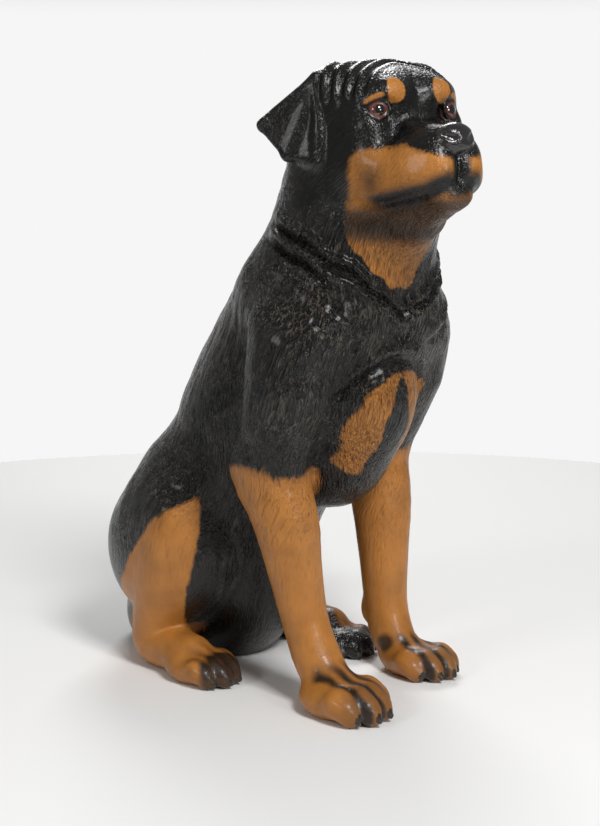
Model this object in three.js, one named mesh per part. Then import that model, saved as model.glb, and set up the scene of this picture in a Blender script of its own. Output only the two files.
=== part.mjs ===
import * as THREE from 'three';

// A seated rottweiler, cast in resin in one piece and painted.
// Frame: X to the dog's own left, Y to its back, Z up, with the ground at Z = 0.

// Driving dimensions, in millimetres.
const HEIGHT = 900;            // ground to the top of the skull
const EAR_THICKNESS = 15;      // of an ear's flap
const TAIL_LENGTH = 56;        // docked stump, from rump to tip
const FACET = 8;               // cell of the first skin, before it is thinned
const PATCH = 32;              // side of the blocks in which the first skin is looked for
const TRIANGLES = 9600;        // of the finished skin

// The figure is shaped in thousandths of its height.
const SHARE = 1000;
const UNIT = HEIGHT / SHARE;

const { abs, cos, exp, hypot, max, min, sin, sqrt } = Math;
const clamp = (value, low, high) => min(high, max(low, value));

// Rises smoothly from 0 at low to 1 at high, or falls where high is below low.
function ramp(value, low, high) {
  const t = clamp((value - low) / (high - low), 0, 1);
  return t * t * (3 - 2 * t);
}

const radians = THREE.MathUtils.degToRad;

// A frame turned by an angle in degrees about X, then by another about Z, with its origin at a point.
function frame([x0, y0, z0], aboutX = 0, aboutZ = 0, size = 1) {
  const [cx, sx, cz, sz] = [cos(radians(aboutX)), sin(radians(aboutX)), cos(radians(aboutZ)), sin(radians(aboutZ))];
  return {
    size,
    inside(x, y, z) {
      const [dx, dy, dz] = [(x - x0) / size, (y - y0) / size, (z - z0) / size];
      const [u, v] = [dx * cz + dy * sz, dy * cz - dx * sz];
      return [u, v * cx + dz * sx, dz * cx - v * sx];
    },
  };
}

// The lumps that the figure is modelled from. Each gives the distance to its skin, less than 0 inside.

function egg(centre, [rx, ry, rz], aboutX = 0) {
  const own = frame(centre, aboutX);
  return {
    centre,
    reach: max(rx, ry, rz),
    distance(x, y, z) {
      const [u, v, w] = own.inside(x, y, z);
      const [p, q, r] = [u / rx, v / ry, w / rz];
      const k = sqrt(p * p + q * q + r * r);
      const slope = sqrt((p / rx) ** 2 + (q / ry) ** 2 + (r / rz) ** 2);
      return k * (k - 1) / max(slope, 1e-6);
    },
  };
}

function rod(a, b, ra, rb = ra) {
  const [ux, uy, uz] = [b[0] - a[0], b[1] - a[1], b[2] - a[2]];
  const span = max(ux * ux + uy * uy + uz * uz, 1e-9);
  return {
    centre: a.map((value, i) => (value + b[i]) / 2),
    reach: sqrt(span) / 2 + max(ra, rb),
    distance(x, y, z) {
      const [px, py, pz] = [x - a[0], y - a[1], z - a[2]];
      const t = clamp((px * ux + py * uy + pz * uz) / span, 0, 1);
      return hypot(px - t * ux, py - t * uy, pz - t * uz) - ra - (rb - ra) * t;
    },
  };
}

function flap(corners, thickness) {
  const [a, b, c] = corners.map((corner) => new THREE.Vector3(...corner));
  const triangle = new THREE.Triangle(a, b, c);
  const middle = triangle.getMidpoint(new THREE.Vector3());
  const [point, nearest] = [new THREE.Vector3(), new THREE.Vector3()];
  return {
    centre: middle.toArray(),
    reach: max(a.distanceTo(middle), b.distanceTo(middle), c.distanceTo(middle)) + thickness,
    distance(x, y, z) {
      triangle.closestPointToPoint(point.set(x, y, z), nearest);
      return nearest.distanceTo(point) - thickness / 2;
    },
  };
}

// Joins two distances with a fillet as wide as blend.
function melt(a, b, blend) {
  const h = clamp(0.5 + 0.5 * (b - a) / blend, 0, 1);
  return b + (a - b) * h - blend * h * (1 - h);
}

// A distance that is far from everything, and how near to its reach a lump is taken along.
const FAR = 1000;
const MARGIN = 16;

// Adds each lump to the distance in turn, or cuts it away where it is marked so.
function model(steps, x, y, z, distance) {
  for (const { lump, blend, away } of steps) {
    const [cx, cy, cz] = lump.centre;
    if (hypot(x - cx, y - cy, z - cz) > lump.reach + blend + MARGIN) continue;
    const own = lump.distance(x, y, z);
    distance = away ? -melt(-distance, own, blend) : melt(distance, own, blend);
  }
  return distance;
}

const add = (blend, ...lumps) => lumps.map((lump) => ({ lump, blend, away: false }));
const cut = (blend, ...lumps) => lumps.map((lump) => ({ lump, blend, away: true }));

// A limb along a smooth curve through points that carry their own radius: [x, y, z, radius]. The curve is the cubic
// that leaves each point parallel to the line between its neighbours, and each stretch of it is three rods.
function limb(...points) {
  const rows = [points[0], ...points, points.at(-1)];
  const curve = [points[0]];
  for (let n = 1; n < rows.length - 2; n++) {
    for (const t of [1 / 3, 2 / 3, 1]) {
      curve.push(rows[n].map((b, i) => {
        const [a, c, d] = [rows[n - 1][i], rows[n + 1][i], rows[n + 2][i]];
        return b + 0.5 * t * (c - a + t * (2 * a - 5 * b + 4 * c - d + t * (3 * (b - c) + d - a)));
      }));
    }
  }
  const rods = curve.slice(1).map((b, i) => rod(curve[i].slice(0, 3), b.slice(0, 3), curve[i][3], b[3]));
  const centre = [0, 1, 2].map((i) => (min(...curve.map((row) => row[i])) + max(...curve.map((row) => row[i]))) / 2);
  return {
    centre,
    reach: max(...rods.map((own) => own.reach + hypot(...own.centre.map((value, i) => value - centre[i])))),
    distance(x, y, z) {
      let nearest = Infinity;
      for (const own of rods) nearest = min(nearest, own.distance(x, y, z));
      return nearest;
    },
  };
}

// A closed ring around Y, which leans back to its outer side and is thickest at its top.
function ring([x, y, z], wide, high, back, thin, thick) {
  return limb(...[0, 1, 2, 3, 4, 5, 6, 7, 8].map((step) => {
    const [c, s] = [cos(step * Math.PI / 4), sin(step * Math.PI / 4)];
    return [x + wide * c, y + back * c, z + high * s, thin + (thick - thin) * max(s, 0)];
  }));
}

// A bell-shaped bump over a width.
const bump = (offset, width) => exp(-((offset / width) ** 2));

// The trunk, the same on both sides.
const trunk = [
  ...add(30, egg([0, 172, 140], [142, 160, 158])),                 // rump
  ...add(30, egg([0, 197, 50], [128, 148, 100])),                  // seat
  ...add(40, egg([0, 92, 136], [110, 106, 116])),                  // lower belly
  ...add(50, limb([0, 108, 250, 136], [0, 36, 402, 150], [0, -82, 581, 146], [-2, -156, 710, 135],
    [-8, -188, 850, 124])),                                        // loin, ribs and neck
  ...add(40, egg([0, -158, 480], [98, 108, 140], 10)),             // breast
  ...add(40, egg([66, -180, 608], [88, 84, 86])),                  // breast muscle
  ...add(50, egg([0, -112, 360], [80, 82, 72])),                   // brisket
  ...add(50, egg([96, 118, 312], [78, 104, 76])),                  // hip
];

// The head, in a frame of its own between the eyes, and mirrored across it. Y runs to the back of the skull.
const HEAD_AT = [-25, -307, 926];
const headFrame = frame(HEAD_AT, -8, -14);
const HEAD_FROM = 660;
const NECK_BLEND = 22;

const skull = [
  ...add(10, egg([0, 92, -4], [98, 104, 90])),
  ...add(25, egg([58, 100, 20], [52, 72, 58])),
  ...add(30, egg([0, 150, -60], [100, 84, 96])),                   // nape
  ...add(20, egg([36, 40, 22], [50, 56, 40])),                     // forehead
  ...add(14, limb([24, 2, 24, 14], [50, -2, 26, 15], [76, 22, 14, 13])),  // brow
  ...add(8, rod([9, 2, 8], [11, 6, 40], 8, 9)),                    // frown
  ...add(14, egg([68, 34, -20], [31, 40, 32])),                    // cheek bone
  ...add(24, egg([62, 52, -74], [44, 64, 64])),                    // cheek
  ...add(25, rod([0, 24, -144], [0, 90, -150], 56, 84)),           // throat
];

const muzzle = [
  ...add(12, rod([14, 4, -38], [12, -80, -54], 25, 21)),           // bridge of the nose
  ...add(16, egg([26, -46, -80], [37, 56, 42])),                   // upper lip
  ...add(14, egg([20, -81, -92], [27, 29, 34])),
  ...add(20, rod([38, -40, -92], [54, 36, -92], 34, 38)),
  ...add(14, limb([22, -86, -104, 21], [42, -62, -110, 23], [58, -20, -116, 24], [66, 20, -116, 26])),
  ...add(12, limb([0, -76, -134, 24], [0, -30, -136, 38], [0, 40, -128, 50])),  // lower jaw
  ...add(10, egg([0, -78, -136], [35, 26, 22])),                   // chin
  ...add(4, egg([0, -97, -56], [31, 23, 24])),                     // nose
  ...cut(4, limb([11, -122, -58, 5], [16, -117, -57, 5], [26, -107, -51, 3])),      // nostril
  ...cut(7, limb([0, -124, -70, 3], [0, -118, -90, 5], [0, -116, -112, 7])),        // groove below the nose
  ...cut(6, limb([0, -114, -108, 4], [14, -113, -113, 4], [28, -106, -120, 4], [46, -86, -129, 4],
    [61, -46, -134, 3.5], [70, -8, -138, 3])),                     // mouth
];

const eyes = [
  ...cut(12, egg([61, -16, -2], [22, 15, 15])),                    // socket
  ...add(2, egg([61, 8, -1], [16.5, 16.5, 16.5])),                 // eyeball
  ...add(3, ring([62, -3, -1], 13, 12, 6, 3, 4.2)),                // lids
];

// An ear: flat leaves that hang from a fold along the front edge.
const earThickness = EAR_THICKNESS / UNIT;
const earEdge = earThickness / 2 + 0.5;
const EAR = {
  top: [104, 98, 58], low: [114, 95, -62], belly: [144, 132, -50], tip: [169, 156, -2], back: [96, 150, 46],
};
const ears = [
  ...add(14, egg([78, 98, 47], [34, 38, 34])),
  ...add(6, flap([EAR.top, EAR.low, EAR.belly], earThickness)),
  ...add(6, flap([EAR.top, EAR.belly, EAR.tip], earThickness)),
  ...add(10, flap([EAR.top, EAR.tip, EAR.back], earThickness)),
  ...add(6, limb([...EAR.top, earEdge], [112, 90, 0, earEdge], [...EAR.low, earEdge])),
];

const head = [...skull, ...muzzle, ...eyes, ...ears];

// Ridges of loose skin that run from side to side over the skull.
const RIDGE_HEIGHT = 3.4;
const RIDGE_SPACING = 25;

function skullFolds(x, y, z) {
  const along = y + 0.7 * sqrt(x * x + 144) + 0.1 * z;
  const shown = ramp(along, 46, 70) * ramp(along, 190, 150) * ramp(z, 6, 40);
  return RIDGE_HEIGHT * shown * sin(along * 2 * Math.PI / RIDGE_SPACING);
}

function headDistance(x, y, z) {
  const [u, v, w] = headFrame.inside(x, y, z);
  return model(head, abs(u), v, w, FAR) - skullFolds(u, v, w);
}

// The creases of the neck: each runs round it, high at the back and low in front, with a ridge on both sides.
const CREASES = [{ drop: 0, from: -330 }, { drop: 32, from: -232 }];
const CREASE_DEPTH = 8;
const CREASE_WIDTH = 6.5;

function neckFolds(x, y, z) {
  const level = z - (732 + 0.45 * y + 0.57 * abs(x) + 3 * sin(x / 9) + 3 * sin(y / 11));
  let out = 0;
  for (const { drop, from } of CREASES) {
    const shown = clamp((y - from) / 30, 0, 1) * clamp((-80 - y) / 60, 0, 1);
    const offset = level + drop;
    const above = bump(offset - 2.2 * CREASE_WIDTH, 1.3 * CREASE_WIDTH);
    const below = bump(offset + 2.2 * CREASE_WIDTH, 1.3 * CREASE_WIDTH);
    out += CREASE_DEPTH * shown * (0.8 * (above + below) - 0.9 * bump(offset, CREASE_WIDTH));
  }
  const shoulder = ramp(abs(x), 60, 95) * ramp(abs(x), 165, 130) * ramp(y, -90, -130);
  return out + shoulder * (5 * bump(level + 80, 11) - 4 * bump(level + 104, 12));
}

// The groove behind the upper arm, and the lower edge of the breast muscle.
function bodyFolds(x, y, z) {
  const beside = clamp((abs(x) - 110) / 30, 0, 1) * clamp((z - 380) / 50, 0, 1) * clamp((620 - z) / 60, 0, 1);
  const arm = -7 * bump(y + 92 - 0.06 * (z - 480), 11) * beside;
  const edge = z - (552 - 0.0055 * x * x);
  const before = clamp((-y - 170) / 30, 0, 1) * clamp((115 - abs(x)) / 30, 0, 1);
  return arm + (6 * bump(edge - 9, 10) - 7 * bump(edge + 10, 9)) * before;
}

// A paw: a pad with four toes, each with a claw. Its frame stands on the ground in the middle of the paw.
const TOES = [[-34, -20], [-13, -40], [12, -43], [33, -27]];

function paw(side) {
  return [
    ...add(16, egg([0, 10, 20], [47, 54, 27])),
    ...TOES.flatMap(([across, along]) => {
      const x = across * side;
      return [
        ...add(10, rod([x * 0.7, 12, 22], [x, along + 10, 26], 18, 18.5)),
        ...add(6, limb([x, along + 10, 26, 18.5], [x * 1.02, along - 4, 21, 18], [x * 1.03, along - 12, 14, 14])),
        ...add(3, rod([x * 1.03, along - 20, 18], [x * 1.05, along - 27, 9], 5.5, 3.5)),
      ];
    }),
  ];
}

// Legs: side is -1 for the right and 1 for the left. The right foreleg stands a little farther forward.
const FORELEGS = [
  {
    side: -1,
    joints: [[-140, -112, 372, 57], [-131, -142, 291, 52], [-123, -152, 220, 44], [-114, -168, 130, 37],
      [-112, -198, 66, 38], [-116, -240, 34, 32]],
    paw: [-124, -263, 0], heading: 4, size: 1.2,
  },
  {
    side: 1,
    joints: [[131, -90, 372, 53], [126, -110, 277, 50], [117, -124, 196, 42], [113, -134, 110, 36],
      [111, -152, 56, 36], [113, -182, 28, 28]],
    paw: [115, -204, 0], heading: -4, size: 1.06,
  },
];

const HINDLEGS = [
  {
    side: -1,
    thigh: [-128, 138, 197], radii: [77, 138, 130],
    joints: [[-120, 150, 262, 74], [-156, 92, 264, 50], [-160, 104, 165, 45], [-156, 144, 52, 42],
      [-160, 100, 38, 38], [-162, 48, 34, 36]],
    paw: [-164, 20, 0], heading: 8, size: 1.02,
  },
  {
    side: 1,
    thigh: [112, 168, 208], radii: [66, 120, 126],
    joints: [[108, 160, 258, 66], [116, 142, 260, 42], [112, 130, 165, 42], [122, 138, 50, 40],
      [118, 70, 38, 36], [114, 0, 36, 36]],
    paw: [112, -30, 0], heading: -4, size: 0.98,
  },
];

const legs = [
  ...HINDLEGS.flatMap(({ thigh, radii, joints }) => [
    ...add(24, egg(thigh, radii, -20)),
    ...add(24, limb(...joints)),
  ]),
  ...FORELEGS.flatMap(({ side, joints }) => {
    const [x, y, z] = joints[0];
    const wrist = joints[3];
    return [
      ...add(40, limb([side * 80, -78, 640, 58], [side * 126, -158, 562, 74], [x, y - 8, z + 20, 58])),  // shoulder
      ...add(16, rod([x, y + 20, z + 6], [x, y + 8, z - 30], 42, 40)),               // elbow
      ...add(16, limb(...joints)),
      ...add(10, egg([wrist[0] - side * 10, wrist[1] + 26, wrist[2] - 14], [16, 15, 26])),  // carpal pad
    ];
  }),
];

const paws = [...FORELEGS, ...HINDLEGS].map(({ side, paw: at, heading, size }) => ({
  own: frame(at, 0, heading, size),
  steps: paw(side),
  centre: at,
  reach: 110 * size,
}));

// The tail's stump points up and back, at a slope of three to four, and starts inside the rump.
const tail = add(16, rod([0, 280, 95], [0, 290 + 0.8 * TAIL_LENGTH / UNIT, 95 + 0.6 * TAIL_LENGTH / UNIT], 24, 15));

// The whole figure above the ground.
function figure(x, y, z) {
  let distance = model(trunk, abs(x), y, z, FAR);
  distance = model(legs, x, y, z, distance);
  distance = model(tail, x, y, z, distance);
  distance -= bodyFolds(x, y, z);
  for (const { own, steps, centre, reach } of paws) {
    if (hypot(x - centre[0], y - centre[1], z) > reach) continue;
    distance = own.size * model(steps, ...own.inside(x, y, z), distance / own.size);
  }
  if (z > HEAD_FROM) distance = melt(distance, headDistance(x, y, z), NECK_BLEND);
  if (z > 560 && z < 800) distance -= neckFolds(x, y, z);
  return max(distance, -z);
}

// The box that the skin's grid fills: it goes around the reach of every lump, and starts just below the ground.
function gridBox() {
  const spheres = [
    ...[...legs, ...tail].map(({ lump }) => lump),
    ...trunk.map(({ lump }) => lump),
    ...trunk.map(({ lump: { centre: [x, y, z], reach } }) => ({ centre: [-x, y, z], reach })),
    ...paws,
    { centre: HEAD_AT, reach: max(...head.map(({ lump }) => hypot(...lump.centre) + lump.reach)) },
  ];
  const low = [0, 1, 2].map((i) => min(...spheres.map(({ centre, reach }) => centre[i] - reach)));
  const high = [0, 1, 2].map((i) => max(...spheres.map(({ centre, reach }) => centre[i] + reach)));
  low[2] = -FACET / UNIT / 2;
  return [low, high];
}


const CORNERS = [0, 1, 2, 3, 4, 5, 6, 7].map((n) => [n & 1, (n >> 1) & 1, n >> 2]);
const EDGES = CORNERS.flatMap((_, n) => [1, 2, 4].filter((bit) => !(n & bit)).map((bit) => [n, n | bit]));

// True where the corners of a cell that share a side of the skin hang together, for each pattern of corners.
function together(pattern) {
  const alike = (a, b) => ((pattern >> a) & 1) === ((pattern >> b) & 1);
  const group = CORNERS.map((_, n) => n);
  for (let pass = 0; pass < 4; pass++) {
    for (const [a, b] of EDGES) {
      if (alike(a, b)) group[a] = group[b] = min(group[a], group[b]);
    }
  }
  return new Set(group).size <= 2;
}
const SIMPLE = Array.from({ length: 256 }, (_, pattern) => together(pattern));

// A closed skin with one vertex in each cell that the figure's surface runs through.
function firstSkin() {
  const step = FACET / UNIT;
  const [low, high] = gridBox();
  const count = low.map((value, i) => Math.ceil((high[i] - value) / step) + 1);
  const strides = [1, count[0], count[0] * count[1]];
  const values = new Float32Array(count[0] * count[1] * count[2]);
  const place = (i, j, k) => [low[0] + i * step, low[1] + j * step, low[2] + k * step];
  // A block of nodes far from the surface takes the value of its middle.
  const block = Math.ceil(PATCH / FACET);
  const far = block * step * sqrt(3);
  for (let k0 = 0; k0 < count[2]; k0 += block) {
    for (let j0 = 0; j0 < count[1]; j0 += block) {
      for (let i0 = 0; i0 < count[0]; i0 += block) {
        const middle = figure(...place(i0 + (block - 1) / 2, j0 + (block - 1) / 2, k0 + (block - 1) / 2));
        for (let k = k0; k < min(k0 + block, count[2]); k++) {
          for (let j = j0; j < min(j0 + block, count[1]); j++) {
            for (let i = i0; i < min(i0 + block, count[0]); i++) {
              const n = i + j * strides[1] + k * strides[2];
              values[n] = abs(middle) > far ? middle : figure(...place(i, j, k));
            }
          }
        }
      }
    }
  }
  const corner = CORNERS.map(([i, j, k]) => i + j * strides[1] + k * strides[2]);
  const patternAt = (n) => {
    let bits = 0;
    for (let b = 0; b < 8; b++) if (values[n + corner[b]] < 0) bits |= 1 << b;
    return bits;
  };
  const cells = function* () {
    for (let k = 0; k < count[2] - 1; k++) {
      for (let j = 0; j < count[1] - 1; j++) {
        for (let i = 0, n = j * strides[1] + k * strides[2]; i < count[0] - 1; i++, n++) yield [n, i, j, k];
      }
    }
  };
  // Where two sheets meet in one cell, its nearest outer corner is filled, so that the skin stays one sheet.
  for (let filled = true; filled;) {
    filled = false;
    for (const [n] of cells()) {
      const pattern = patternAt(n);
      if (SIMPLE[pattern]) continue;
      const outer = corner.filter((offset) => values[n + offset] >= 0);
      const nearest = outer.reduce((a, b) => (values[n + a] < values[n + b] ? a : b));
      values[n + nearest] = -0.01 * step;
      filled = true;
    }
  }
  const vertexAt = new Map();
  const points = [];
  for (const [n, i, j, k] of cells()) {
    const pattern = patternAt(n);
    if (pattern === 0 || pattern === 255) continue;
    const sum = [0, 0, 0];
    let crossings = 0;
    for (const [a, b] of EDGES) {
      const [va, vb] = [values[n + corner[a]], values[n + corner[b]]];
      if ((va < 0) === (vb < 0)) continue;
      const t = va / (va - vb);
      crossings++;
      for (let axis = 0; axis < 3; axis++) sum[axis] += CORNERS[a][axis] + t * (CORNERS[b][axis] - CORNERS[a][axis]);
    }
    vertexAt.set(n, points.length);
    points.push(place(i + sum[0] / crossings, j + sum[1] / crossings, k + sum[2] / crossings));
  }
  const triangles = [];
  for (const [n, ...at] of cells()) {
    for (let axis = 0; axis < 3; axis++) {
      const [u, v] = [(axis + 1) % 3, (axis + 2) % 3];
      if (!at[u] || !at[v]) continue;
      const [here, next] = [values[n] < 0, values[n + strides[axis]] < 0];
      if (here === next) continue;
      const ring = [n, n - strides[u], n - strides[u] - strides[v], n - strides[v]].map((cell) => vertexAt.get(cell));
      if (!here) ring.reverse();
      triangles.push([ring[0], ring[1], ring[2]], [ring[0], ring[2], ring[3]]);
    }
  }
  return { points, triangles };
}

// The largest of the skins that hang together, so that no hollow is sealed inside.
function outerSkin({ points, triangles }) {
  const group = points.map((_, n) => n);
  const root = (n) => {
    while (group[n] !== n) n = group[n] = group[group[n]];
    return n;
  };
  for (const [a, b, c] of triangles) {
    group[root(b)] = root(a);
    group[root(c)] = root(a);
  }
  const sizes = new Map();
  for (const [a] of triangles) sizes.set(root(a), (sizes.get(root(a)) ?? 0) + 1);
  const largest = [...sizes].reduce((best, entry) => (entry[1] > best[1] ? entry : best))[0];
  return { points, triangles: triangles.filter(([a]) => root(a) === largest) };
}

// Moves each point along the slope of the figure on to its surface.
function settle(points) {
  const h = 0.5;
  for (const point of points) {
    for (let pass = 0; pass < 3; pass++) {
      const [x, y, z] = point;
      const slope = [
        figure(x + h, y, z) - figure(x - h, y, z),
        figure(x, y + h, z) - figure(x, y - h, z),
        figure(x, y, z + h) - figure(x, y, z - h),
      ].map((value) => value / (2 * h));
      const steep = max(slope[0] ** 2 + slope[1] ** 2 + slope[2] ** 2, 0.1);
      const move = clamp(figure(x, y, z) / steep, -4, 4);
      for (let axis = 0; axis < 3; axis++) point[axis] -= move * slope[axis];
    }
  }
}

// A queue that gives its cheapest entry first.
class Queue {
  entries = [];

  push(entry) {
    const list = this.entries;
    let n = list.push(entry) - 1;
    while (n > 0) {
      const parent = (n - 1) >> 1;
      if (list[parent].cost <= list[n].cost) break;
      [list[parent], list[n]] = [list[n], list[parent]];
      n = parent;
    }
  }

  pop() {
    const list = this.entries;
    const first = list[0];
    const last = list.pop();
    if (!list.length) return first;
    list[0] = last;
    for (let n = 0; ;) {
      let least = n;
      for (const child of [2 * n + 1, 2 * n + 2]) {
        if (child < list.length && list[child].cost < list[least].cost) least = child;
      }
      if (least === n) return first;
      [list[least], list[n]] = [list[n], list[least]];
      n = least;
    }
  }
}

const minus = (a, b) => [a[0] - b[0], a[1] - b[1], a[2] - b[2]];
const cross = (a, b) => [a[1] * b[2] - a[2] * b[1], a[2] * b[0] - a[0] * b[2], a[0] * b[1] - a[1] * b[0]];
const dot = (a, b) => a[0] * b[0] + a[1] * b[1] + a[2] * b[2];
const normalOf = (a, b, c) => cross(minus(b, a), minus(c, a));

// How much the shape at a height matters: the face shows most, then the paws.
const care = (z) => (z > 740 ? 5 : z < 90 ? 2 : 1);

// The squared distance to a plane through a point, as the ten numbers of its quadric.
function planeQuadric(normal, point, weight) {
  const [a, b, c] = normal;
  const d = -dot(normal, point);
  return [a * a, a * b, a * c, a * d, b * b, b * c, b * d, c * c, c * d, d * d].map((value) => value * weight);
}

function quadricCost(q, [x, y, z]) {
  return q[0] * x * x + 2 * q[1] * x * y + 2 * q[2] * x * z + 2 * q[3] * x + q[4] * y * y
    + 2 * q[5] * y * z + 2 * q[6] * y + q[7] * z * z + 2 * q[8] * z + q[9];
}

// The point where a quadric is least, or nothing where that isn't one clear point.
function quadricLow(q) {
  const matrix = new THREE.Matrix3(q[0], q[1], q[2], q[1], q[4], q[5], q[2], q[5], q[7]);
  const size = q[0] + q[4] + q[7];
  if (abs(matrix.determinant()) < 1e-4 * size ** 3) return null;
  return new THREE.Vector3(-q[3], -q[6], -q[8]).applyMatrix3(matrix.invert()).toArray();
}

// Joins the two ends of one edge after another, the cheapest first, until few enough triangles are left.
function thin({ points, triangles }, limit) {
  const around = points.map(() => new Set());
  const quadrics = points.map(() => new Array(10).fill(0));
  const changes = points.map(() => 0);
  triangles.forEach((corners, n) => {
    const normal = normalOf(...corners.map((corner) => points[corner]));
    const length = max(hypot(...normal), 1e-12);
    const quadric = planeQuadric(normal.map((value) => value / length), points[corners[0]], length);
    for (const corner of corners) {
      around[corner].add(n);
      const weight = care(points[corner][2]);
      quadric.forEach((value, i) => { quadrics[corner][i] += value * weight; });
    }
  });
  const neighbours = (a) => {
    const found = new Set();
    for (const n of around[a]) triangles[n].forEach((corner) => corner !== a && found.add(corner));
    return found;
  };
  const queue = new Queue();
  const offer = (a, b) => {
    const quadric = quadrics[a].map((value, i) => value + quadrics[b][i]);
    const middle = points[a].map((value, i) => (value + points[b][i]) / 2);
    const length = hypot(...minus(points[a], points[b]));
    const low = quadricLow(quadric);
    const near = low && hypot(...minus(low, middle)) < 1.5 * length;
    const choices = near ? [low] : [middle, points[a], points[b]];
    const target = choices.reduce((best, choice) => (
      quadricCost(quadric, choice) < quadricCost(quadric, best) ? choice : best));
    const cost = quadricCost(quadric, target) + 1e-3 * length ** 4;
    queue.push({ cost, a, b, target, stamp: changes[a] + changes[b] });
  };
  const turnsOver = (moved, other, target) => {
    for (const n of around[moved]) {
      const corners = triangles[n];
      if (corners.includes(other)) continue;
      const before = normalOf(...corners.map((corner) => points[corner]));
      const after = normalOf(...corners.map((corner) => (corner === moved ? target : points[corner])));
      if (dot(before, after) < 0.2 * hypot(...before) * hypot(...after) || hypot(...after) < 1) return true;
    }
    return false;
  };
  points.forEach((_, a) => neighbours(a).forEach((b) => a < b && offer(a, b)));
  let left = triangles.length;
  while (left > limit && queue.entries.length) {
    const { a, b, target, stamp } = queue.pop();
    if (!around[a].size || !around[b].size || stamp !== changes[a] + changes[b]) continue;
    const ring = neighbours(b);
    if (!ring.has(a) || [...neighbours(a)].filter((corner) => ring.has(corner)).length !== 2) continue;
    if (turnsOver(a, b, target) || turnsOver(b, a, target)) continue;
    for (const n of [...around[b]]) {
      if (triangles[n].includes(a)) {
        for (const corner of triangles[n]) around[corner].delete(n);
        triangles[n] = null;
        left--;
      } else {
        triangles[n] = triangles[n].map((corner) => (corner === b ? a : corner));
        around[a].add(n);
      }
    }
    around[b].clear();
    points[a] = target;
    quadrics[a] = quadrics[a].map((value, i) => value + quadrics[b][i]);
    for (const corner of neighbours(a)) changes[corner]++;
    changes[a]++;
    for (const corner of neighbours(a)) {
      offer(a, corner);
      for (const far of neighbours(corner)) if (far !== a) offer(corner, far);
    }
  }
  return { points, triangles: triangles.filter((corners) => corners) };
}

// The skin as a geometry in millimetres, with its origin below the middle of its box and its underside on Z = 0.
function statueGeometry() {
  const first = outerSkin(firstSkin());
  settle(first.points);
  const { points, triangles } = thin(first, TRIANGLES);
  const used = [...new Set(triangles.flat())];
  const order = new Map(used.map((corner, n) => [corner, n]));
  const places = used.flatMap((corner) => points[corner].map((value, axis) => (
    axis === 2 && value < 0.4 ? 0 : value * UNIT)));
  const geometry = new THREE.BufferGeometry();
  geometry.setAttribute('position', new THREE.Float32BufferAttribute(places, 3));
  geometry.setIndex(triangles.flat().map((corner) => order.get(corner)));
  geometry.computeBoundingBox();
  const middle = geometry.boundingBox.getCenter(new THREE.Vector3());
  geometry.translate(-middle.x, -middle.y, 0);
  geometry.computeVertexNormals();
  return geometry;
}

// Paint, on cast resin.
const paintedResin = new THREE.MeshStandardMaterial({ color: 0x1c1917, roughness: 0.35, metalness: 0 });

const group = new THREE.Group();
const statue = new THREE.Mesh(statueGeometry(), paintedResin);
statue.name = 'rottweiler_statue';
group.add(statue);

export default group;
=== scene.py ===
"""A seated rottweiler statue: cast resin, carved coat, gloss paint in black and tan.

The figure is one smooth field, the same lumps and folds as the CAD solid, skinned here on a finer grid. The
coat's locks are carved into that skin, the hair itself is in the paint's bump, and the paint's pattern is
worked out at every vertex from where it lies on the dog. Everything is shaped in thousandths of the statue's
height: x to the dog's left, y to its back, z up.
"""

import logging
import math
from dataclasses import dataclass, field
from enum import Enum

import bpy
import numpy as np
from mathutils import Matrix, Vector


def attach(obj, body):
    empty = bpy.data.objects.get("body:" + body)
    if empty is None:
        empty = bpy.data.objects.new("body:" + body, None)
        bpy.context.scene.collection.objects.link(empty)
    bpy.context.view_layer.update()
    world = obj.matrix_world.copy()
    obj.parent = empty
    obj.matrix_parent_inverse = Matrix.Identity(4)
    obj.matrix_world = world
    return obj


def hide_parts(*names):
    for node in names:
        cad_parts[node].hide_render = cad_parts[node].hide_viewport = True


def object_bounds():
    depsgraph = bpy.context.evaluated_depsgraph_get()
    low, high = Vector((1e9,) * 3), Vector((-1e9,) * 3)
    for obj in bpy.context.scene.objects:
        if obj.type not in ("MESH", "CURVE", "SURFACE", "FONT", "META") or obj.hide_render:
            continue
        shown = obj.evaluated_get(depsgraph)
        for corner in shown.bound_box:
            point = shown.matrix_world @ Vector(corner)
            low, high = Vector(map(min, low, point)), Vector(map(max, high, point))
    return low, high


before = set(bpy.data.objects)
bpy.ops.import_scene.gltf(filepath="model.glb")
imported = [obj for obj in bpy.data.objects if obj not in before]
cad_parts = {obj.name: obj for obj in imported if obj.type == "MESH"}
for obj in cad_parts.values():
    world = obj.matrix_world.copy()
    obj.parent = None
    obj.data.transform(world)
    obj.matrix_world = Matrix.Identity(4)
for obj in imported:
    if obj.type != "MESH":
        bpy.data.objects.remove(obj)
CAD_BOX = [list(corner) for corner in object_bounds()]

NODE = "rottweiler_statue"
FAR = 1000.0
SLACK = 8.0
TURN = 2 * math.pi
HASH = np.array([[127.1, 269.5, 113.5], [311.7, 183.3, 271.9], [74.7, 246.1, 124.6]])
HASH_SCALE = 43758.5
log = logging.getLogger("statue")

Points = np.ndarray
Values = np.ndarray
Point = tuple[float, float, float]
Joint = tuple[float, float, float, float]
Colour = tuple[float, float, float, float]
Link = bpy.types.NodeSocket
Node = bpy.types.Node
Tree = bpy.types.NodeTree
Piece = bpy.types.Object
Material = bpy.types.Material


def melt(a: Values, b: Values, blend: float) -> Values:
    """Join two distances with a fillet: the smaller one, less a parabola where they are within blend.

    Args:
        a: distances to the first surface.
        b: distances to the second surface.
        blend: width of the fillet.

    Returns:
        The joined distances.
    """
    h = np.clip(0.5 + 0.5 * (b - a) / blend, 0.0, 1.0)
    return b + (a - b) * h - blend * h * (1.0 - h)


def bump(offset: Values, width: float) -> Values:
    """A bell curve of the offset, 1 in the middle."""
    return np.exp(-((offset / width) ** 2))


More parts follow.
